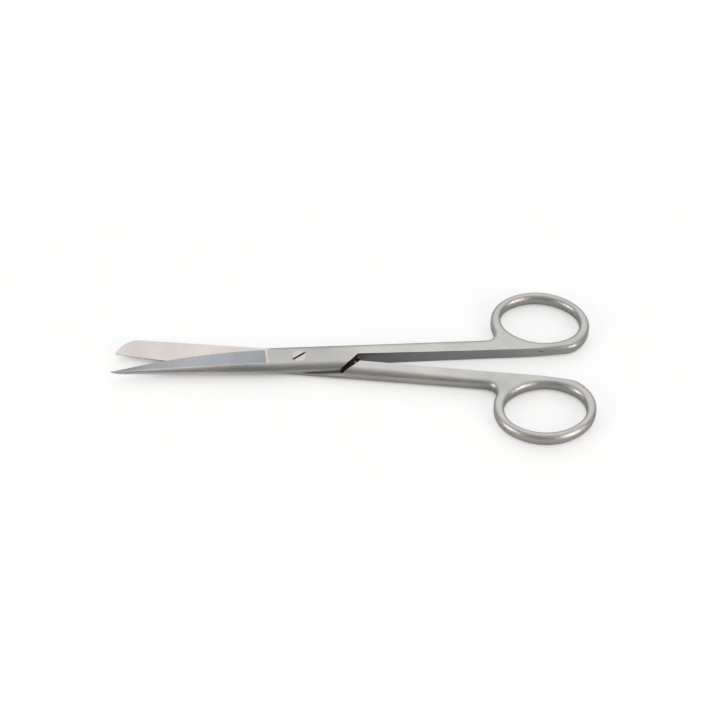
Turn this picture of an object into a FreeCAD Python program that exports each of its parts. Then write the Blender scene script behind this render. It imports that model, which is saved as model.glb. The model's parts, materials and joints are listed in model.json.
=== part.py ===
"""Straight operating scissors, one sharp and one blunt tip, 145 mm long when closed.

Three pieces: two forged halves joined by a lap joint, and the slotted pivot screw.
Millimetres. The pivot axis is the Z axis, the scissors lie flat on z = 0, the finger
rings point towards +X and the blades towards -X. The halves stand a little open.

Each half is modelled closed, in its own frame: x along the scissors from the pivot,
y towards the outside of its own finger ring, z up from the plane where the blades meet,
with its own joint layer and blade above that plane. The upper half is then lifted and
turned open, and the lower half is turned over about X first.
"""
import FreeCAD, Part
import math
import os

V = FreeCAD.Vector

# Pose
opening = 8.5                # degrees between the closed pose and this one

# Lap joint
joint_thickness = 4.8        # both layers together
joint_width = 9.5
joint_edge_land = 0.05       # upright strip between the rounded side and the meeting plane
lap_gap = 0.05               # running gap between the two layers
joint_front = 3.0            # where the joint's even section ends, ahead of the pivot
slant_reach = 17.3           # from the pivot to the layer's slanted end, at the inner face
slant_foot = 12.0            # and at the layer's side
slant_radius = 17.0          # the slanted end bulges a little
shoulder_gap = 0.75          # between a layer's slanted end and the other half's shoulder
face_gap = 0.2               # between the two handles' inner faces when closed

# Shank
shank_end = 54.0             # where the shank meets the web of its ring
shank_width_end = 4.6
handle_thickness = 3.8       # of the web and the ring
handle_edge_radius = 1.15    # rounding along the edges of the web and the ring

# Finger ring
web_length = 7.8             # from the shank's end to the opening
face_wall = 2.61             # from the inner face to the opening
opening_length = 24.2
opening_width = 18.45
opening_end_radius = 7.66    # the oval's tighter ends
ring_wall = 2.75             # outer side of the ring
ring_wall_ends = 2.9
ring_wall_inner = 4.25       # beside the web
ring_tilt = -10.5            # degrees, the far end leans towards the other ring
crotch_radius = 3.0          # where the web's outside runs into the ring
heel_radius = 6.0            # where the inner face runs into the ring
face_past = 4.7              # how far the inner face runs past the opening's centre
face_lean = 5.0              # degrees at which its edges fade into the ring's rounding

# Blades
bevel_end = 9.9              # from the pivot to the end of the bevel
bevel_skew = 5.0             # degrees that this end is off square
grind_radius = 1.5           # concave run-out from the bevel up to the joint's face
edge_land = 0.2              # thickness left at the cutting edge
bevel_strip = 0.15           # flat left between the bevel and the rounded back
back_tip_round = 0.15        # depth of the back's rounding at the tip
back_ease = 12.0             # length over which the joint narrows to the blade's back
tip_thickness = 0.7          # at the back of the blade
blank_end = 58.0             # the blades' blanks run past both tips
edge_lead = 7.0              # where the cutting edge leaves the joint's side
edge_stand = 0.05            # how far outside the joint's side it starts

sharp_reach = 56.3           # from the pivot to the point
sharp_edge_end = -2.1        # the point lies behind the centre line
sharp_back_root = 4.6        # distance of the blade's back from the centre line
sharp_back_tip = 2.65
sharp_nose_length = 4.2      # stretch over which the back curves to the point
sharp_nose_radius = 11.0

blunt_reach = 55.5
blunt_edge_end = 2.87        # the cutting edge at the blunt end
blunt_back_root = 4.0
blunt_back_tip = 3.3
blunt_nose_length = 5.3      # stretch over which the back curves round the blunt end
blunt_nose_radius = 7.9
blunt_corner = 0.45          # rounding between the blunt end and the cutting edge

# Pivot screw
screw_head_diameter = 4.6
screw_head_land = 0.15       # short upright rim of the head
screw_shank_diameter = 3.2   # plain part in the upper half
screw_thread_diameter = 2.6  # part held by the lower half
screw_cone_angle = 90.0
screw_clearance = 0.05       # running clearance in the upper half
slot_width = 0.65
slot_depth = 0.8
slot_angle = 39.0            # degrees from the scissors' length, as it lies
screw_end_chamfer = 0.2

# Sizes that follow
layer = joint_thickness / 2
half_width = joint_width / 2
side_radius = layer - joint_edge_land
joint_flat = half_width - side_radius
inner_face = face_gap / 2
under = lap_gap / 2
half_handle = handle_thickness / 2
edge_radius = min(handle_edge_radius, 0.45 * min(ring_wall, handle_thickness))
shank_start = slant_reach + 2 * shoulder_gap
back_straight = blank_end - joint_front - back_ease
ring_turn = math.radians(ring_tilt)
opening_reach = math.hypot(opening_length * math.cos(ring_turn),
                           opening_width * math.sin(ring_turn)) / 2
opening_rise = math.hypot(opening_length * math.sin(ring_turn),
                          opening_width * math.cos(ring_turn)) / 2
opening_x = shank_end + web_length + opening_reach
opening_y = inner_face + face_wall + opening_rise
face_end = opening_x + face_past
ring_reach = opening_width + ring_wall_inner
margin = 10.0                # tools reach this far past what they cut


def polygon(points):
    """A closed wire through the points."""
    return Part.makePolygon(points + [points[0]])


def prism(outline, bottom, top):
    """The plan outline, a list of (x, y), stood up between two heights."""
    wire = polygon([V(x, y, bottom) for x, y in outline])
    return Part.Face(wire).extrude(V(0, 0, top - bottom))


def rounding(start, corner, end):
    """A quarter of an ellipse from start to end, rounding off the corner."""
    curve = Part.BezierCurve()
    curve.setPoles([start, corner, end])
    curve.setWeight(2, math.sqrt(0.5))
    return curve.toShape()


def line(start, end):
    return Part.LineSegment(start, end).toShape()


def layer_section(x, height, back, back_flat):
    """Section of a joint layer or blade blank: flat below, both sides rounded."""
    foot = joint_edge_land
    a = V(x, -back, under)
    b = V(x, -back, foot)
    c = V(x, -back_flat, height)
    d = V(x, joint_flat, height)
    e = V(x, half_width, foot)
    f = V(x, half_width, under)
    edges = [line(a, b), rounding(b, V(x, -back, height), c), line(c, d)]
    edges += [rounding(d, V(x, half_width, height), e), line(e, f), line(f, a)]
    return Part.Wire(edges)


def shank_section(x, width, thickness, radius):
    """D-shaped section of a shank: crisp inner face, rounded outside."""
    z = thickness / 2
    a = V(x, inner_face, z)
    b = V(x, width - radius, z)
    c = V(x, width, z - radius)
    d = V(x, width, radius - z)
    e = V(x, width - radius, -z)
    f = V(x, inner_face, -z)
    edges = [line(a, b), rounding(b, V(x, width, z), c), line(c, d)]
    edges += [rounding(d, V(x, width, -z), e), line(e, f), line(f, a)]
    return Part.Wire(edges)


def slant_disc(side, radius):
    """A disc whose rim is the slanted end of a layer, on one side of the centre line."""
    top = V(slant_reach, 0, 0)
    foot = V(slant_foot, side * half_width, 0)
    chord = foot - top
    outward = V(side * chord.y, -side * chord.x, 0)
    outward.normalize()
    depth = math.sqrt(slant_radius ** 2 - chord.Length ** 2 / 4)
    centre = (top + foot) * 0.5 - outward * depth
    return Part.makeCylinder(radius, 2 * margin, V(centre.x, centre.y, -margin))


def joint_layer():
    """The half's own layer of the lap joint; it ends in a slant on the far side."""
    section = layer_section(-joint_front, layer, half_width, joint_flat)
    bar = Part.Face(section).extrude(V(joint_front + shank_start, 0, 0))
    beyond = prism([(slant_foot / 2, -margin), (2 * shank_start, -margin),
                    (2 * shank_start, inner_face), (slant_foot / 2, inner_face)],
                   -margin, margin)
    return bar.cut(beyond.cut(slant_disc(-1, slant_radius)))


def shoulder():
    """The lower part of the shank beside the other half's layer, with its shoulder."""
    start = slant_foot / 2
    section = shank_section(start, half_width, joint_thickness, side_radius)
    bar = Part.Face(section).extrude(V(shank_start - start, 0, 0))
    above = prism([(0, -margin), (2 * shank_start, -margin), (2 * shank_start, margin),
                   (0, margin)], under, margin)
    return bar.cut(above).cut(slant_disc(1, slant_radius + shoulder_gap))


def shank():
    """The straight shank from the joint to the web."""
    start = shank_section(shank_start, half_width, joint_thickness, side_radius)
    end = shank_section(shank_end, shank_width_end, handle_thickness, edge_radius)
    return Part.makeLoft([start, end], True, True)


def oval(centre, length, width, end_radius, tilt):
    """A four-centre oval as a face in the plan, its long axis turned by a tilt in degrees."""
    a = length / 2
    b = width / 2
    r = end_radius
    side = ((a - r) ** 2 + b * b - r * r) / (2 * (b - r))
    reach = r / (side - r)
    x = (a - r) * (1 + reach)
    y = (side - b) * reach
    ring = [V(x, -y, 0), V(a, 0, 0), V(x, y, 0), V(0, b, 0), V(-x, y, 0), V(-a, 0, 0),
            V(-x, -y, 0), V(0, -b, 0), V(x, -y, 0)]
    arcs = [Part.Arc(*ring[i:i + 3]).toShape() for i in (0, 2, 4, 6)]
    face = Part.Face(Part.Wire(arcs))
    face.rotate(V(0, 0, 0), V(0, 0, 1), tilt)
    face.translate(centre)
    return face


def crossings(face, start, end):
    """Where a line enters and leaves a face, in the order of x."""
    inside = face.common(line(start, end))
    return sorted((v.Point for v in inside.Vertexes), key=lambda point: point.x)


def fillet_upright(shape, place, radius):
    """Round the upright edge that stands at a place in the plan."""
    edges = []
    for edge in shape.Edges:
        feet = [V(v.X, v.Y, 0) for v in edge.Vertexes]
        if len(feet) == 2 and all((foot - place).Length < 0.001 for foot in feet):
            edges.append(edge)
    return shape.makeFillet(radius, edges)


def ring():
    """Web and finger ring, rounded all along the outline and cut flat at the inner face.

    Beside the inner face the outline runs under the cut at a slight lean, so the face's
    edges are crisp at the shank and soften until the face ends in the ring's rounding.
    """
    centre = V(opening_x, opening_y, 0)
    shift = (ring_wall - ring_wall_inner) / 2
    outer = oval(centre + V(-math.sin(ring_turn), math.cos(ring_turn), 0) * shift,
                 opening_length + 2 * ring_wall_ends,
                 opening_width + ring_wall + ring_wall_inner,
                 opening_end_radius + (ring_wall + ring_wall_inner) / 2, ring_tilt)
    finger = oval(centre, opening_length, opening_width, opening_end_radius, ring_tilt)
    lean = math.tan(math.radians(face_lean))
    far = opening_x + opening_length
    low = V(shank_end, inner_face - lean * (face_end - shank_end), 0)
    high = V(shank_end, shank_width_end, 0)
    heel = crossings(outer, low, V(far, inner_face + lean * (far - face_end), 0))[-1]
    crotch = crossings(outer, high, V(opening_x, shank_width_end, 0))[0]
    up = V(0, 0, handle_thickness)
    web = Part.Face(polygon([low, heel, crotch, high])).extrude(up)
    body = outer.extrude(up).fuse(web)
    below = [(low.x, low.y), (heel.x, heel.y), (heel.x, -ring_reach), (low.x, -ring_reach)]
    body = body.cut(prism(below, 0, handle_thickness)).removeSplitter()
    body = fillet_upright(body, crotch, crotch_radius)
    body = fillet_upright(body, heel, heel_radius)
    body = body.cut(finger.extrude(up))
    rims = [edge for edge in body.Edges
            if edge.BoundBox.ZLength < 0.001 and edge.BoundBox.XMax > shank_end + 0.001]
    body = body.makeFillet(edge_radius, rims)
    body.translate(V(0, 0, -half_handle))
    spare = prism([(0, -ring_reach), (2 * far, -ring_reach), (2 * far, inner_face),
                   (0, inner_face)], -margin, margin)
    return body.cut(spare)


class Blade:
    """One blade: how far it reaches, its cutting edge, its back and its nose."""

    def __init__(self, reach, edge_end, back_root, back_tip, nose_length, nose_radius,
                 corner):
        self.reach = reach
        self.edge_end = edge_end
        self.back_root = back_root
        self.back_tip = back_tip
        self.nose_length = nose_length
        self.nose_radius = nose_radius
        self.corner = corner
        run = reach - edge_lead
        drop = half_width + edge_stand - edge_end
        self.edge_radius = (run * run + drop * drop) / (2 * drop)

    def edge(self, x):
        """The cutting edge: an arc that leaves the joint's side and ends at the tip."""
        run = -edge_lead - x
        sink = self.edge_radius - math.sqrt(self.edge_radius ** 2 - run * run)
        return half_width + edge_stand - sink

    def back(self, x):
        """The back: a straight line, eased into the joint's side near the joint."""
        fall = (self.back_root - self.back_tip) / back_straight
        run = -joint_front - x
        ease = max(0.0, 1 - run / back_ease)
        rise = half_width - self.back_root - fall * back_ease
        return self.back_root + fall * (back_ease - run) + rise * ease * ease

    def back_flat(self, x):
        """Where the rounding of the back ends, nearer the back towards the tip."""
        t = (-joint_front - x) / (blank_end - joint_front)
        return joint_flat + (self.back_tip - back_tip_round - joint_flat) * t

    def height(self, x):
        """Thickness at the back: even up to the bevel, then falling to the tip."""
        start = bevel_end - grind_radius
        t = max(0.0, (-start - x) / (blank_end - start))
        return layer + (tip_thickness - layer) * t

    def blank(self):
        """The forged bar before it is trimmed and ground."""
        places = [joint_front + back_ease * i / 4 for i in range(5)]
        places += [bevel_end - grind_radius, blank_end]
        sections = [layer_section(-p, self.height(-p), self.back(-p), self.back_flat(-p))
                    for p in sorted(places)]
        return Part.makeLoft(sections, True, True)

    def plan(self):
        """Its outline in the plan: cutting edge, nose, and clear of the back."""
        start = V(-edge_lead, half_width + edge_stand, 0)
        x = -self.reach + self.corner
        edge_tip = V(x, self.edge(x), 0)
        middle_x = (start.x + edge_tip.x) / 2
        middle = V(middle_x, self.edge(middle_x), 0)
        nose_tip = V(-self.reach, self.edge_end - self.corner, 0)
        nose_x = -self.reach + self.nose_length
        nose_root = V(nose_x, -self.back(nose_x) - edge_stand, 0)
        chord = nose_root - nose_tip
        out = V(chord.y, -chord.x, 0)
        out.normalize()
        bulge = self.nose_radius - math.sqrt(self.nose_radius ** 2 - chord.Length ** 2 / 4)
        nose_middle = (nose_tip + nose_root) * 0.5 + out * bulge
        edges = [Part.Arc(start, middle, edge_tip).toShape()]
        if self.corner > 0:
            edges.append(rounding(edge_tip, V(-self.reach, self.edge_end, 0), nose_tip))
        edges.append(Part.Arc(nose_tip, nose_middle, nose_root).toShape())
        clear = [nose_root, V(nose_x + self.nose_length, -margin, 0), V(0, -margin, 0),
                 V(0, margin, 0), V(-edge_lead, margin, 0), start]
        edges += [line(a, b) for a, b in zip(clear, clear[1:])]
        return Part.Wire(edges)

    def bevel_ridge(self, x):
        return V(x, -self.back_flat(x) + bevel_strip, self.height(x))

    def bevel_tool(self):
        """What grinding takes off the outside, between the ridge and the cutting edge."""
        sections = []
        steps = 8
        start = bevel_end - 2 * grind_radius
        for i in range(steps + 1):
            x = -start - (blank_end - start) * i / steps
            ridge = self.bevel_ridge(x)
            width = max(2 * edge_land, self.edge(x) - ridge.y)
            slope = V(0, width, edge_land + under - ridge.z)
            slope.normalize()
            high = ridge - slope
            low = ridge + slope * (width + half_width)
            up = V(0, 0, margin)
            sections.append(polygon([high, low, low + up, high + up]))
        return Part.makeLoft(sections, True, False)

    def run_out(self):
        """The concave end of the grind, a little off square, and what lies beyond it."""
        skew = math.tan(math.radians(bevel_skew))
        ridge = self.bevel_ridge(-bevel_end)
        width = self.edge(-bevel_end) - ridge.y
        across = V(-skew * width, width, edge_land + under - ridge.z)
        across.normalize()
        normal = V(1, 0, 0).cross(across)
        normal.normalize()
        along = across.cross(normal)
        base = ridge - across * half_width
        r = grind_radius
        half = r * math.sqrt(0.5)
        end = base + along * r + normal * r
        bend = base + along * half + normal * (r - half)
        start = base - along * r
        up = normal * margin
        profile = Part.Wire([Part.Arc(base, bend, end).toShape(), line(end, end + up),
                             line(end + up, start + up), line(start + up, start),
                             line(start, base)])
        groove = Part.Face(profile).extrude(across * (2 * joint_width))
        x0 = ridge.x + skew * (ridge.y + margin)
        x1 = ridge.x + skew * (ridge.y - margin)
        beyond = prism([(x0, -margin), (margin, -margin), (margin, margin), (x1, margin)],
                       -margin, 2 * margin)
        return groove, beyond

    def shape(self):
        groove, beyond = self.run_out()
        body = self.blank().common(Part.Face(self.plan()).extrude(V(0, 0, margin)))
        return body.cut(self.bevel_tool().cut(beyond)).cut(groove)


def half(blade):
    """One forging: blade, joint layer, shoulder, shank, web and ring."""
    body = joint_layer().fuse([blade.shape(), shoulder(), shank(), ring()])
    return body.removeSplitter()


def upper_half():
    """The sharp half, with a countersunk bore that turns on the screw."""
    blade = Blade(sharp_reach, sharp_edge_end, sharp_back_root, sharp_back_tip,
                  sharp_nose_length, sharp_nose_radius, 0)
    neck = screw_shank_diameter / 2 + screw_clearance
    head = screw_head_diameter / 2 + screw_clearance
    rim = layer - screw_head_land
    depth = (head - neck) / math.tan(math.radians(screw_cone_angle / 2))
    bore = polygon([V(0, 0, -margin), V(neck, 0, -margin), V(neck, 0, rim - depth),
                    V(head, 0, rim), V(head, 0, margin), V(0, 0, margin)])
    bore = Part.Face(bore).revolve(V(0, 0, 0), V(0, 0, 1), 360)
    body = half(blade).cut(bore)
    body.rotate(V(0, 0, 0), V(0, 0, 1), opening / 2)
    body.translate(V(0, 0, layer))
    return body


def lower_half():
    """The blunt half, turned over, with the bore that the screw is fixed in."""
    blade = Blade(blunt_reach, blunt_edge_end, blunt_back_root, blunt_back_tip,
                  blunt_nose_length, blunt_nose_radius, blunt_corner)
    bore = Part.makeCylinder(screw_thread_diameter / 2, 2 * margin, V(0, 0, -margin))
    body = half(blade).cut(bore)
    body.rotate(V(0, 0, 0), V(1, 0, 0), 180)
    body.rotate(V(0, 0, 0), V(0, 0, 1), -opening / 2)
    body.translate(V(0, 0, layer))
    return body


def pivot_screw():
    """Slotted countersunk screw, flush with both outer faces."""
    head = screw_head_diameter / 2
    neck = screw_shank_diameter / 2
    core = screw_thread_diameter / 2
    cone = math.tan(math.radians(screw_cone_angle / 2))
    rim = joint_thickness - screw_head_land
    points = [V(0, 0, 0), V(core - screw_end_chamfer, 0, 0), V(core, 0, screw_end_chamfer),
              V(core, 0, layer), V(neck, 0, layer),
              V(neck, 0, rim - (head - neck) / cone), V(head, 0, rim),
              V(head, 0, joint_thickness), V(0, 0, joint_thickness)]
    body = Part.Face(polygon(points)).revolve(V(0, 0, 0), V(0, 0, 1), 360)
    slot = Part.makeBox(2 * screw_head_diameter, slot_width, slot_depth + 1,
                        V(-screw_head_diameter, -slot_width / 2,
                          joint_thickness - slot_depth))
    slot.rotate(V(0, 0, 0), V(0, 0, 1), slot_angle)
    return body.cut(slot)


os.makedirs("parts", exist_ok=True)
pieces = {"upper_half": upper_half(), "lower_half": lower_half(),
          "pivot_screw": pivot_screw()}
for name, shape in pieces.items():
    shape.exportStep("parts/" + name + ".step")
    box = shape.BoundBox
    print(name, shape.isValid(), len(shape.Solids), round(shape.Volume, 1),
          round(box.XMin, 2), round(box.XMax, 2), round(box.YMin, 2), round(box.YMax, 2),
          round(box.ZMin, 2), round(box.ZMax, 2))
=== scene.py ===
"""Finishes of the surgical scissors and the pale studio they lie in.

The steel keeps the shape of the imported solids; this file gives each half and the screw its
satin stainless finish, and sets up the floor, the lamps and the camera.
"""
import json
import math

import bpy
from bpy.props import FloatProperty, FloatVectorProperty, PointerProperty
from mathutils import Matrix, Vector


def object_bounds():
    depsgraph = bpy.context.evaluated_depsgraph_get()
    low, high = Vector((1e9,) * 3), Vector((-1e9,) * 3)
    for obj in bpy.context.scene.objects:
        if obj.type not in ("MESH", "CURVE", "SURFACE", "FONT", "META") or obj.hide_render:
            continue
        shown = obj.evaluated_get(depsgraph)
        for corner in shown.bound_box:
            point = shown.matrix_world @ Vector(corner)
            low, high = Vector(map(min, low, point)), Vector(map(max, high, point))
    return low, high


bl_info = {
    "name": "Surgical Scissors",
    "version": (1, 0, 0),
    "blender": (4, 5, 0),
    "location": "3D View > Sidebar > Scissors",
    "description": "Steel finishes, studio and camera for a pair of surgical scissors",
    "category": "Object",
}

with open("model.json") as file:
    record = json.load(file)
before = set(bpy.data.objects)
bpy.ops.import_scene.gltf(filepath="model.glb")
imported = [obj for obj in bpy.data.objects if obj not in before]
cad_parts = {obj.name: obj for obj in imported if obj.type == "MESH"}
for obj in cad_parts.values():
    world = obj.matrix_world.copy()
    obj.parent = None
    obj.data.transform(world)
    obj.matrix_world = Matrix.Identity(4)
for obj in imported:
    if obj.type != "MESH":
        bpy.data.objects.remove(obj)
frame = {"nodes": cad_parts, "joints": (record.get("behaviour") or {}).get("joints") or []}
bpy.context.view_layer.update()
cad_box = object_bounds()
# The halves lie open by the same angle, on either side of the closed pose
half_opening = math.radians(-frame["joints"][0]["range_deg"][0] / 2)
thickness = cad_box[1][2]
layer = thickness / 2

# Places on a half in its closed pose, in metres: x from the pivot towards the ring, y from
# the inner side and z up. A fade runs from where it begins to where it is complete.
blade_end = -0.0092
back_fade = (-0.006, -0.016)
# Heights over which the blade back's painted light turns to painted shade
back_heights = (layer + 0.0004, thickness - 0.0005)
run_out_middle, run_out_reach = -0.0106, 0.002
slant_middle, slant_reach = 0.0155, 0.0045
# Painted shade round the pivot: its middle along x, and the distances where it is full and where
# it is gone
joint_shade_middle, joint_shade_reach = 0.005, (0.004, 0.022)
shank_start = 0.0176
shank_fade = (0.018, 0.026)
# The flanks' painted shade is gone at the first and complete at the second
ring_fade = (0.078, 0.055)
outer_fade = (0.0012, 0.0024)
layer_slack = 0.00004
inner_side_slack = 0.00014
pit_middle, pit_half_size = (0.0727, 0.0001, 0.0027), (0.0011, 0.0011, 0.00045)

# Limits on a part of the normal that tell a surface from its neighbours
level_limit = 0.7
bevel_limit = 0.12
back_limit = -0.03
run_out_limit = -0.1
slant_limit = 0.4

# A noise texture's values lie mostly between these
noise_span = (0.3, 0.7)

# Height of the finish's bumps, of which a Bump node's strength shows a share
bump_height = 0.00002


def hex_colour(code):
    """An sRGB hex colour as linear red, green and blue."""
    parts = [int(code[i:i + 2], 16) / 255 for i in (0, 2, 4)]
    return [p / 12.92 if p <= 0.04045 else ((p + 0.055) / 1.055) ** 2.4 for p in parts]


def add_node(tree, kind, inputs=None, **settings):
    """Add a node, set its options, fill or link its inputs, and return its outputs.

    An input is given by its name or number, and as a value or as another node's output.
    """
    node = tree.nodes.new(kind)
    for name, value in settings.items():
        setattr(node, name, value)
    for key, value in (inputs or {}).items():
        if isinstance(value, bpy.types.NodeSocket):
            tree.links.new(value, node.inputs[key])
        else:
            node.inputs[key].default_value = value
    return node.outputs


def colour_property(name, description, code):
    return FloatVectorProperty(name=name, description=description, subtype="COLOR",
                               size=3, min=0, max=1, default=hex_colour(code))


def length_property(name, description, default, most):
    return FloatProperty(name=name, description=description, default=default, min=0,
                         max=most, unit="LENGTH", precision=5)


def factor_property(name, description, default):
    return FloatProperty(name=name, description=description, default=default, min=0, max=1,
                         subtype="FACTOR")


def power_property(name, description, default):
    return FloatProperty(name=name, description=description, default=default, min=0,
                         max=100, unit="POWER")


class ScissorsSteel(bpy.types.PropertyGroup):
    """Colours and textures of the steel, with the colours of its painted shade, highlights and
    reflection.
    """

    satin: colour_property("Satin steel", "Satin stainless steel of the forgings", "c8c9c7")
    warm: colour_property("Warm steel", "Patches that polishing left warmer", "cdcac5")
    ground: colour_property("Ground steel", "Ground inner face of a blade", "d7d0cb")
    # Painted reflection: the bevel is coloured cooler and darker than the satin
    bevel: colour_property("Bevel", "Ground bevel of a blade", "bbbfc6")
    # Painted highlight: the run-out at the end of the bevel is coloured near white
    run_out_highlight: colour_property("Run-out", "Bright curve at the end of the bevel", "fff9f0")
    # Painted shade: the shanks' inner sides are coloured darker than the satin
    flank_shade: colour_property("Flank", "Milled inner sides of the shanks", "b8b9bc")
    # Painted highlight and wear: edges are coloured brighter
    edge: colour_property("Worn edge", "Edges rubbed brighter by use", "ece7e2")
    turned: colour_property("Turned steel", "Lathe-turned head of the screw", "ccc8c2")
    pit: colour_property("Pit", "Small dark pit in the upper half's inner side", "6c6c70")
    # Painted shade: the slanted ends of the lap joint are coloured near black
    recess_shade: colour_property("Recess", "Unpolished ends of the lap joint", "4c4a49")
    # Painted shade: the joint's rubbing faces are coloured darker, for the shade between the
    # halves
    lap: colour_property("Lap", "Faces of the joint that rub on each other", "9c9ea0")
    # Painted shade: the slot's walls are coloured near black
    slot: colour_property("Slot", "Sooty walls of the screw's slot", "3a3836")
    satin_roughness: factor_property("Satin roughness", "Roughness of the satin finish",
                                     0.36)
    ground_roughness: factor_property("Ground roughness", "Roughness of the ground faces",
                                      0.28)
    lap_roughness: factor_property("Lap roughness", "Roughness of the joint's rubbed faces",
                                   0.2)
    # Painted shade: the steel round the joint is coloured darker by this share
    joint_shade: factor_property("Oil", "How much a film of oil darkens the steel round the joint",
                         0.13)
    grain_width: length_property("Grain width", "Width of a brushed streak", 0.0003, 0.002)
    grind_width: length_property("Grind width", "Width of a grinding streak", 0.0004, 0.002)
    grain_length: length_property("Grain length", "Length of a brushed or ground streak",
                                  0.004, 0.05)
    cloud_size: length_property("Cloud size", "Size of the faint patches in the finish",
                                0.012, 0.05)
    speck_size: length_property("Speck size", "Size of the blasting's mottling",
                                0.0006, 0.01)
    ring_spacing: length_property("Ring spacing", "Between the lathe's rings on the screw",
                                  0.0009425, 0.005)
    edge_radius: length_property("Edge radius", "Softness of the edges", 0.00012, 0.001)
    handle_radius: length_property("Handle radius", "Softness of the shanks and rings",
                                   0.0022, 0.003)
    # Reach of the edges' painted highlight and wear
    wear_and_highlight_radius: length_property("Wear radius", "How far from an edge it is rubbed bright",
                                 0.00045, 0.002)


class ScissorsStudio(bpy.types.PropertyGroup):
    """The floor, the lamps and the camera."""

    floor: colour_property("Floor", "Floor in lamp light", "caccce")
    floor_glow: factor_property("Floor glow", "What the camera sees added to the floor",
                                0.53)
    floor_in_steel: factor_property("Floor in steel",
                                    "What the steel sees added to the floor", 0.06)
    shade_reach: length_property("Shade reach", "How far the steel shades the floor's glow",
                                 0.006, 0.5)
    back_light: power_property("Back light", "Power of the large softbox", 2.1)
    side_light: power_property("Side light", "Power of each warm side lamp", 2.5)
    room: factor_property("Room light", "Strength of the room's light from the front", 0.22)
    bounce: factor_property("Bounce light", "Strength of the room's light, high at the back",
                            0.68)
    azimuth: FloatProperty(name="Azimuth", description="Camera's turn about the pivot",
                           default=math.radians(1.57), subtype="ANGLE")
    elevation: FloatProperty(name="Elevation", description="Camera's height above the floor",
                             default=math.radians(48), subtype="ANGLE")
    distance: FloatProperty(name="Distance", description="Camera to the pivot, along its view",
                            default=0.4917, min=0.05, max=5, unit="LENGTH")
    lens: FloatProperty(name="Lens", description="Focal length in millimetres",
                        default=82.0, min=20, max=300)


def dress(node, material):
    """Give a CAD node one material."""
    mesh = frame["nodes"][node].data
    mesh.materials.clear()
    mesh.materials.append(material)


def new_material(name):
    material = bpy.data.materials.new(name)
    material.use_nodes = True
    material.node_tree.nodes.clear()
    return material, material.node_tree


def half_surfaces(tree, side):
    """Tell a half's surfaces apart, as sockets that are 1 on a surface and 0 elsewhere.

    side is 1 for the half whose ring lies towards +Y and -1 for the other. The half's
    coordinates are turned back to the closed pose, where its inner sides are square to the
    axes, so that plain limits are enough. The result holds them too, by name.
    """
    turn = (0, 0, -side * half_opening)
    coordinates = add_node(tree, "ShaderNodeTexCoord")
    place = add_node(tree, "ShaderNodeMapping",
                     {"Vector": coordinates["Object"], "Rotation": turn})[0]
    facing = add_node(tree, "ShaderNodeMapping",
                      {"Vector": coordinates["Normal"], "Rotation": turn},
                      vector_type="VECTOR")[0]
    found = {"place": place}
    found["x"], found["y"], found["z"] = add_node(tree, "ShaderNodeSeparateXYZ", {0: place})
    found["facing_x"], found["facing_y"], found["facing_z"] = add_node(
        tree, "ShaderNodeSeparateXYZ", {0: facing})

    # Each rule names what it finds, then how and from what
    rules = (
        ("outward", "MULTIPLY", "y", side),
        ("facing_out", "MULTIPLY", "facing_y", side),
        ("flatness", "ABSOLUTE", "facing_z"),
        ("level", "GREATER_THAN", "flatness", level_limit),
        ("blade", "LESS_THAN", "x", blade_end),
        ("mid_height", "COMPARE", "z", layer, layer_slack),
        ("layer_face", "MULTIPLY", "level", "mid_height"),
        ("inner", "MULTIPLY", "layer_face", "blade"),
        # The joint's faces, which get painted shade
        ("lap", "SUBTRACT", "layer_face", "inner"),
        ("facing_edge", "GREATER_THAN", "facing_out", bevel_limit),
        # The bevel, which gets a painted reflection
        ("bevel", "MULTIPLY", "blade", "facing_edge"),
        ("ground", "MAXIMUM", "inner", "bevel"),
        ("facing_back", "LESS_THAN", "facing_out", back_limit),
        ("by_run_out", "COMPARE", "x", run_out_middle, run_out_reach),
        ("facing_tip", "LESS_THAN", "facing_x", run_out_limit),
        # The run-out, which gets a painted highlight
        ("run_out_highlight", "MULTIPLY", "by_run_out", "facing_tip"),
        ("by_slant", "COMPARE", "x", slant_middle, slant_reach),
        ("endwise", "ABSOLUTE", "facing_x"),
        ("slanted", "GREATER_THAN", "endwise", slant_limit),
        # The slanted ends, which get painted shade
        ("recess_shade", "MULTIPLY", "by_slant", "slanted"),
        ("inner_side", "COMPARE", "y", 0.0, inner_side_slack),
        ("past_joint", "GREATER_THAN", "x", shank_start),
        ("shank_side", "MULTIPLY", "inner_side", "past_joint"),
        # Distance along the half from the middle of the pivot's painted shade
        ("past_shade_middle", "SUBTRACT", "x", joint_shade_middle),
        ("from_shade_middle", "ABSOLUTE", "past_shade_middle"),
    )
    for name, operation, *values in rules:
        inputs = {i: found.get(value, value) for i, value in enumerate(values)}
        found[name] = add_node(tree, "ShaderNodeMath", inputs, operation=operation)[0]

    # Surfaces that fade into their neighbours; the flank's painted shade fades out towards the
    # ring
    for name, surface, along, fade in (("back", "facing_back", "x", back_fade),
                                       ("flank_shade", "shank_side", "x", ring_fade),
                                       ("shank", "past_joint", "x", shank_fade),
                                       ("handle", "shank", "outward", outer_fade)):
        grade = add_node(tree, "ShaderNodeMapRange",
                         {0: found[along], 1: fade[0], 2: fade[1]})[0]
        found[name] = add_node(tree, "ShaderNodeMath", {0: found[surface], 1: grade},
                               operation="MULTIPLY")[0]
    return found


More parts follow.
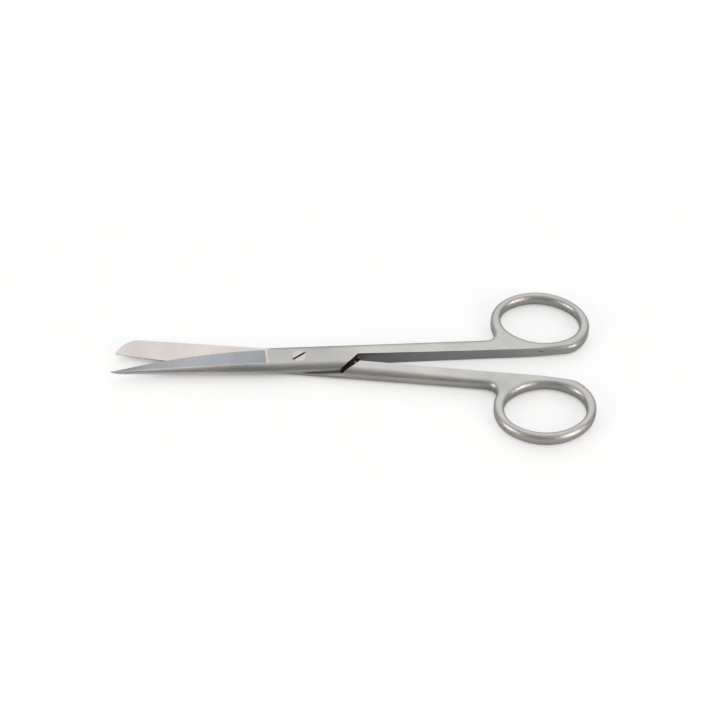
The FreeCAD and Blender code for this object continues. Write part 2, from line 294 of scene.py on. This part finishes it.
def add_textures(tree, found, steel):
    """Add the finish's patches, mottling and streaks to what is found on a half."""
    cloud, speck = 1 / steel.cloud_size, 1 / steel.speck_size
    brushed, ground, along = 1 / steel.grain_width, 1 / steel.grind_width, 1 / steel.grain_length
    for name, scale, detail, roughness in (
            # Where the polishing belt pressed more and less
            ("cloud", (cloud, cloud, cloud), 4, 0.5),
            # The blasting's mottling
            ("specks", (speck, speck, speck), 2, 0.6),
            # Brushed streaks run along the shanks and grinding streaks across the blades,
            # both drawn a few times wider than real ones so that they show
            ("brushing", (along, brushed, brushed), 2, 0.7),
            ("grinding", (ground, along, ground), 0.5, 0.7)):
        stretched = add_node(tree, "ShaderNodeMapping",
                             {"Vector": found["place"], "Scale": scale})[0]
        found[name] = add_node(tree, "ShaderNodeTexNoise",
                               {"Vector": stretched, "Scale": 1.0, "Detail": detail,
                                "Roughness": roughness})[0]
    # The ground faces are smoother, so their streaks are fainter
    faint = add_node(tree, "ShaderNodeMapRange", {0: found["grinding"], 3: 0.35, 4: 0.65})[0]
    found["grain"] = add_node(tree, "ShaderNodeMix",
                              {0: found["ground"], 2: found["brushing"], 3: faint},
                              data_type="FLOAT")[0]
    found["warm"] = add_node(tree, "ShaderNodeMapRange",
                             {0: found["cloud"], 1: 0.38, 2: 0.62})[0]


def add_wear_and_highlight(tree, found, steel):
    """Add where edges are painted bright, as highlight and rubbed wear: there a rounded normal
    turns from the true one.
    """
    normal = add_node(tree, "ShaderNodeNewGeometry")["Normal"]
    rounded = add_node(tree, "ShaderNodeBevel", {0: steel.wear_and_highlight_radius}, samples=6)[0]
    likeness = add_node(tree, "ShaderNodeVectorMath", {0: rounded, 1: normal},
                        operation="DOT_PRODUCT")[1]
    # Brightest, as painted highlight and wear, where the two are about 30 degrees apart, or more
    most_turned, most_rubbed_and_highlighted = 0.86, 0.8
    rubbed_and_highlighted = add_node(tree, "ShaderNodeMapRange",
                      {0: likeness, 1: 1.0, 2: most_turned, 3: 0.0, 4: most_rubbed_and_highlighted})[0]
    # The back of a blade gets neither painted highlight nor wear
    found["rubbed_and_highlighted"] = add_node(tree, "ShaderNodeMix", {0: found["back"], 2: rubbed_and_highlighted, 3: 0.0},
                               data_type="FLOAT")[0]


def add_pit(tree, found):
    """Add the pit that the forging left, 2.2 mm long and 0.9 mm high, fading at its rim."""
    offset = add_node(tree, "ShaderNodeVectorMath", {0: found["place"], 1: pit_middle},
                      operation="SUBTRACT")[0]
    offset = add_node(tree, "ShaderNodeVectorMath", {0: offset, 1: pit_half_size},
                      operation="DIVIDE")[0]
    offset = add_node(tree, "ShaderNodeVectorMath", {0: offset}, operation="LENGTH")[1]
    found["pit"] = add_node(tree, "ShaderNodeMapRange",
                            {0: offset, 1: 0.3, 2: 1.0, 3: 0.9, 4: 0.0})[0]


def half_colour(tree, found, steel):
    """Colour of a half: its surfaces' colours, several of them painted shade, highlight and
    reflection, times painted shade and light on the blade's back and round the pivot, and the
    finish's uneven brightness.
    """
    colour = (*steel.satin, 1)
    # Painted reflection on the bevel, painted highlights on the run-out and edges, and painted
    # shade on the flank, lap and recess; the warm patches and the pit are the steel's own
    for name, paint in (("warm", steel.warm), ("inner", steel.ground),
                        ("bevel", steel.bevel), ("run_out_highlight", steel.run_out_highlight),
                        ("flank_shade", steel.flank_shade), ("pit", steel.pit),
                        ("rubbed_and_highlighted", steel.edge), ("lap", steel.lap),
                        ("recess_shade", steel.recess_shade)):
        if name in found:
            colour = add_node(tree, "ShaderNodeMix",
                              {0: found[name], 6: colour, 7: (*paint, 1)},
                              data_type="RGBA")[2]

    # Painted shade and light: the blade's back is darker above, beside the bevel, and brighter
    # low down
    low, high = back_heights
    back = add_node(tree, "ShaderNodeMapRange",
                    {0: found["z"], 1: low, 2: high, 3: 1.4, 4: 0.64})[0]
    shade = add_node(tree, "ShaderNodeMix", {0: found["back"], 2: 1.0, 3: back},
                     data_type="FLOAT")[0]
    for name, (start, end), (first, last), curve in (
            # Painted shade round the pivot
            ("from_shade_middle", joint_shade_reach, (1 - steel.joint_shade, 1.0), "SMOOTHSTEP"),
            ("cloud", noise_span, (0.88, 1.06), "LINEAR"),
            ("specks", noise_span, (0.98, 1.01), "LINEAR"),
            ("grain", noise_span, (0.955, 1.035), "LINEAR")):
        change = add_node(tree, "ShaderNodeMapRange",
                          {0: found[name], 1: start, 2: end, 3: first, 4: last},
                          interpolation_type=curve)[0]
        shade = add_node(tree, "ShaderNodeMath", {0: shade, 1: change},
                         operation="MULTIPLY")[0]
    return add_node(tree, "ShaderNodeVectorMath", {0: colour, 3: shade},
                    operation="SCALE")[0]


def half_roughness(tree, found, steel):
    """Roughness of a half: uneven along the grain, and less where it is rubbed."""
    low, high = noise_span
    unevenness = 0.07
    rough = add_node(tree, "ShaderNodeMix",
                     {0: found["ground"], 2: steel.satin_roughness,
                      3: steel.ground_roughness}, data_type="FLOAT")[0]
    uneven = add_node(tree, "ShaderNodeMapRange",
                      {0: found["grain"], 1: low, 2: high, 3: -unevenness,
                       4: unevenness})[0]
    rough = add_node(tree, "ShaderNodeMath", {0: rough, 1: uneven}, operation="ADD")[0]
    for name, change in (("rubbed_and_highlighted", -0.06), ("run_out_highlight", 0.2)):
        rough = add_node(tree, "ShaderNodeMath", {0: found[name], 1: change, 2: rough},
                         operation="MULTIPLY_ADD")[0]
    return add_node(tree, "ShaderNodeMix",
                    {0: found["lap"], 2: rough, 3: steel.lap_roughness},
                    data_type="FLOAT")[0]


def half_normal(tree, found, steel):
    """Normal of a half: edges softened, and the streaks and mottling pressed in."""
    # The handles' outer sides are belt-polished round
    radius = add_node(tree, "ShaderNodeMix",
                      {0: found["handle"], 2: steel.edge_radius, 3: steel.handle_radius},
                      data_type="FLOAT")[0]
    soft = add_node(tree, "ShaderNodeBevel", {0: radius}, samples=12)[0]
    # The mottling is lower than the streaks, and grinding takes it off the blades
    share = add_node(tree, "ShaderNodeMix", {0: found["ground"], 2: 0.4, 3: 0.0},
                     data_type="FLOAT")[0]
    height = add_node(tree, "ShaderNodeMath",
                      {0: found["specks"], 1: share, 2: found["grain"]},
                      operation="MULTIPLY_ADD")[0]
    return add_node(tree, "ShaderNodeBump",
                    {"Strength": 0.08, "Distance": bump_height, "Height": height,
                     "Normal": soft})[0]


def satin_steel(name, side, steel):
    """Martensitic stainless steel: forged, bead-blasted to a satin, ground at the blades.

    The satin shows the lamps as a soft sheen, and the ground faces show them sharper.
    """
    material, tree = new_material(name)
    found = half_surfaces(tree, side)
    add_textures(tree, found, steel)
    add_wear_and_highlight(tree, found, steel)
    if side == 1:
        add_pit(tree, found)
    shader = add_node(tree, "ShaderNodeBsdfPrincipled",
                      {"Base Color": half_colour(tree, found, steel), "Metallic": 1.0,
                       "Roughness": half_roughness(tree, found, steel),
                       "Normal": half_normal(tree, found, steel)})[0]
    add_node(tree, "ShaderNodeOutputMaterial", {0: shader})
    return material


def turned_steel(name, steel):
    """Lathe-turned stainless steel: fine rings round the axis, and a milled slot with painted
    shade on its walls.
    """
    material, tree = new_material(name)
    place = add_node(tree, "ShaderNodeTexCoord")["Object"]
    z = add_node(tree, "ShaderNodeSeparateXYZ", {0: place})[2]
    # Real rings are many times finer, and these are coarse so that they show. At a scale of
    # 1 a wave texture goes through 20 radians in each unit
    rings = add_node(tree, "ShaderNodeTexWave",
                     {"Vector": place, "Scale": math.tau / 20 / steel.ring_spacing,
                      "Distortion": 0.4, "Detail": 2},
                     wave_type="RINGS", rings_direction="Z")[1]
    # Painted shade: the slot's walls darken from just under the head's top
    slot_top, slot_dark = thickness - 0.0001, thickness - 0.0004
    slot = add_node(tree, "ShaderNodeMapRange", {0: z, 1: slot_top, 2: slot_dark})[0]
    colour = add_node(tree, "ShaderNodeMix",
                      {0: slot, 6: (*steel.turned, 1), 7: (*steel.slot, 1)},
                      data_type="RGBA")[2]
    shade = add_node(tree, "ShaderNodeMapRange", {0: rings, 3: 0.94, 4: 1.03})[0]
    colour = add_node(tree, "ShaderNodeVectorMath", {0: colour, 3: shade},
                      operation="SCALE")[0]
    rough = add_node(tree, "ShaderNodeMapRange", {0: rings, 3: 0.24, 4: 0.34})[0]
    soft = add_node(tree, "ShaderNodeBevel", {0: steel.edge_radius}, samples=4)[0]
    bump = add_node(tree, "ShaderNodeBump",
                    {"Strength": 0.15, "Distance": bump_height, "Height": rings,
                     "Normal": soft})[0]
    shader = add_node(tree, "ShaderNodeBsdfPrincipled",
                      {"Base Color": colour, "Metallic": 1.0, "Roughness": rough,
                       "Normal": bump})[0]
    add_node(tree, "ShaderNodeOutputMaterial", {0: shader})
    return material


class SCISSORS_OT_upper_half(bpy.types.Operator):
    """Finish the half with the sharp blade"""

    bl_idname = "scissors.upper_half"
    bl_label = "Upper Half"

    def execute(self, context):
        steel = context.scene.scissors_steel
        dress("upper_half", satin_steel("satin_stainless_upper", 1, steel))
        return {"FINISHED"}


class SCISSORS_OT_lower_half(bpy.types.Operator):
    """Finish the half with the blunt blade"""

    bl_idname = "scissors.lower_half"
    bl_label = "Lower Half"

    def execute(self, context):
        steel = context.scene.scissors_steel
        dress("lower_half", satin_steel("satin_stainless_lower", -1, steel))
        return {"FINISHED"}


class SCISSORS_OT_pivot_screw(bpy.types.Operator):
    """Finish the slotted pivot screw"""

    bl_idname = "scissors.pivot_screw"
    bl_label = "Pivot Screw"

    def execute(self, context):
        steel = context.scene.scissors_steel
        dress("pivot_screw", turned_steel("turned_stainless_screw", steel))
        return {"FINISHED"}


def pale_floor(studio):
    """Matt white floor that takes the shadow, with glow added up to the photo's white."""
    material, tree = new_material("pale_floor")
    path = add_node(tree, "ShaderNodeLightPath")
    # In the steel and through glass the glow is weaker than the camera's white, and so is
    # the room's light: a white table would wash out the steel's dark bands
    mirrored = add_node(tree, "ShaderNodeMath",
                        {0: path["Is Glossy Ray"], 1: path["Is Transmission Ray"]},
                        operation="MAXIMUM")[0]
    mirrored = add_node(tree, "ShaderNodeMath", {0: mirrored, 1: studio.floor_in_steel},
                        operation="MULTIPLY")[0]
    # Past the lamps' light the floor turns as white as the room
    near, far = 0.2, 0.5
    place = add_node(tree, "ShaderNodeTexCoord")["Object"]
    away = add_node(tree, "ShaderNodeVectorMath", {0: place}, operation="LENGTH")[1]
    seen = add_node(tree, "ShaderNodeMapRange",
                    {0: away, 1: near, 2: far, 3: studio.floor_glow, 4: 1.0})[0]
    glow = add_node(tree, "ShaderNodeMath",
                    {0: path["Is Camera Ray"], 1: seen, 2: mirrored},
                    operation="MULTIPLY_ADD")[0]
    # No glow is added in narrow gaps between steel, where a real floor is dark
    shut_in, clear = 0.05, 0.4
    open_sky = add_node(tree, "ShaderNodeAmbientOcclusion", {1: studio.shade_reach},
                        samples=8)[1]
    open_sky = add_node(tree, "ShaderNodeMapRange", {0: open_sky, 1: shut_in, 2: clear})[0]
    glow = add_node(tree, "ShaderNodeMath", {0: glow, 1: open_sky}, operation="MULTIPLY")[0]
    lit = add_node(tree, "ShaderNodeBsdfDiffuse", {0: (*studio.floor, 1)})[0]
    shine = add_node(tree, "ShaderNodeEmission", {0: (1, 1, 1, 1), 1: glow})[0]
    both = add_node(tree, "ShaderNodeAddShader", {0: lit, 1: shine})[0]
    add_node(tree, "ShaderNodeOutputMaterial", {0: both})
    return material


def room_light(studio):
    """Light off a pale ceiling and wall, strongest high at the back, and white to look at."""
    world = bpy.data.worlds.new("room")
    world.use_nodes = True
    tree = world.node_tree
    tree.nodes.clear()
    seen = add_node(tree, "ShaderNodeLightPath")["Is Camera Ray"]
    direction = add_node(tree, "ShaderNodeTexCoord")["Generated"]
    brightest = (0.0, 0.64, 0.77)
    towards = add_node(tree, "ShaderNodeVectorMath", {0: direction, 1: brightest},
                       operation="DOT_PRODUCT")[1]
    strength = add_node(tree, "ShaderNodeMapRange",
                        {0: towards, 1: 0.0, 2: 1.0, 3: studio.room, 4: studio.bounce},
                        interpolation_type="SMOOTHSTEP")[0]
    strength = add_node(tree, "ShaderNodeMath", {0: strength, 1: seen},
                        operation="MAXIMUM")[0]
    background = add_node(tree, "ShaderNodeBackground", {0: (1, 1, 1, 1), 1: strength})[0]
    add_node(tree, "ShaderNodeOutputWorld", {0: background})
    return world


def lamp(name, spot, size, power, colour):
    """An area lamp at spot that looks at the scissors; size is its width and height."""
    bpy.ops.object.light_add(type="AREA", location=spot)
    light = bpy.context.object
    light.name = name
    light.data.shape = "RECTANGLE"
    light.data.size, light.data.size_y = size
    light.data.energy = power
    light.data.color = hex_colour(colour)
    light.rotation_euler = (-Vector(spot)).to_track_quat("-Z", "Y").to_euler()


class SCISSORS_OT_studio(bpy.types.Operator):
    """Make the floor, the lamps and the room's light"""

    bl_idname = "scissors.studio"
    bl_label = "Studio"

    def execute(self, context):
        studio = context.scene.scissors_studio
        floor_size = 4
        # The floor lies 0.1 mm lower, clear of the scissors' underside
        sunk = Matrix.Translation((0, 0, -0.0001))
        bpy.ops.object.select_all(action="DESELECT")
        bpy.ops.mesh.primitive_plane_add(size=floor_size, location=(0, 0, 0))
        floor = context.object
        floor.name = "floor"
        floor.data.transform(sunk)
        floor.data.materials.append(pale_floor(studio))

        lamp("back_softbox", (0.0, 0.55, 0.6), (2.0, 0.8), studio.back_light, "fffdfa")
        lamp("left_lamp", (-0.68, -0.4, 0.26), (0.4, 0.6), studio.side_light, "fff4e8")
        lamp("right_lamp", (0.64, -0.46, 0.26), (0.4, 0.6), studio.side_light, "fff4e8")
        context.scene.world = room_light(studio)
        return {"FINISHED"}


class SCISSORS_OT_camera(bpy.types.Operator):
    """Set the camera at the photograph's viewing angle"""

    bl_idname = "scissors.camera"
    bl_label = "Camera"

    def execute(self, context):
        studio = context.scene.scissors_studio
        turn, rise = studio.azimuth, studio.elevation
        right = Vector((math.cos(turn), math.sin(turn), 0))
        level = Vector((-math.sin(turn), math.cos(turn), 0))
        ahead = level * math.cos(rise) - Vector((0, 0, math.sin(rise)))
        up = right.cross(ahead)
        # In a picture 720 pixels wide, the pivot at the layers' height stands this many
        # pixels to the left of the middle and below it
        picture_width, left_px, below_px = 720, 60.5, 1.0
        sensor_width = 36
        metres_per_px = studio.distance * sensor_width / studio.lens / picture_width
        pivot = Vector((0, 0, layer))
        spot = (pivot - ahead * studio.distance
                + (right * left_px + up * below_px) * metres_per_px)
        bpy.ops.object.camera_add(location=spot)
        camera = context.object
        camera.name = "camera"
        camera.rotation_euler = Matrix((right, up, -ahead)).transposed().to_euler()
        camera.data.lens = studio.lens
        camera.data.sensor_width = sensor_width
        camera.data.clip_start = 0.01
        camera.data.clip_end = 20
        context.scene.camera = camera
        context.scene.view_settings.view_transform = "Standard"
        return {"FINISHED"}


class SCISSORS_PT_panel(bpy.types.Panel):
    """Sizes, colours and steps of the scissors"""

    bl_label = "Surgical Scissors"
    bl_idname = "SCISSORS_PT_panel"
    bl_space_type = "VIEW_3D"
    bl_region_type = "UI"
    bl_category = "Scissors"

    def draw(self, context):
        for group in (context.scene.scissors_steel, context.scene.scissors_studio):
            column = self.layout.column()
            for name in group.__annotations__:
                column.prop(group, name)
        for step in steps:
            self.layout.operator(step.bl_idname)


steps = (SCISSORS_OT_camera, SCISSORS_OT_upper_half, SCISSORS_OT_lower_half,
         SCISSORS_OT_pivot_screw, SCISSORS_OT_studio)
classes = (ScissorsSteel, ScissorsStudio) + steps + (SCISSORS_PT_panel,)


def register():
    for cls in classes:
        bpy.utils.register_class(cls)
    bpy.types.Scene.scissors_steel = PointerProperty(type=ScissorsSteel)
    bpy.types.Scene.scissors_studio = PointerProperty(type=ScissorsStudio)


def unregister():
    del bpy.types.Scene.scissors_studio
    del bpy.types.Scene.scissors_steel
    for cls in reversed(classes):
        bpy.utils.unregister_class(cls)


def main():
    register()
    bpy.ops.scissors.camera()
    bpy.ops.scissors.upper_half()
    bpy.ops.scissors.lower_half()
    bpy.ops.scissors.pivot_screw()
    bpy.ops.scissors.studio()
    bpy.context.view_layer.update()


if __name__ == "__main__":
    main()
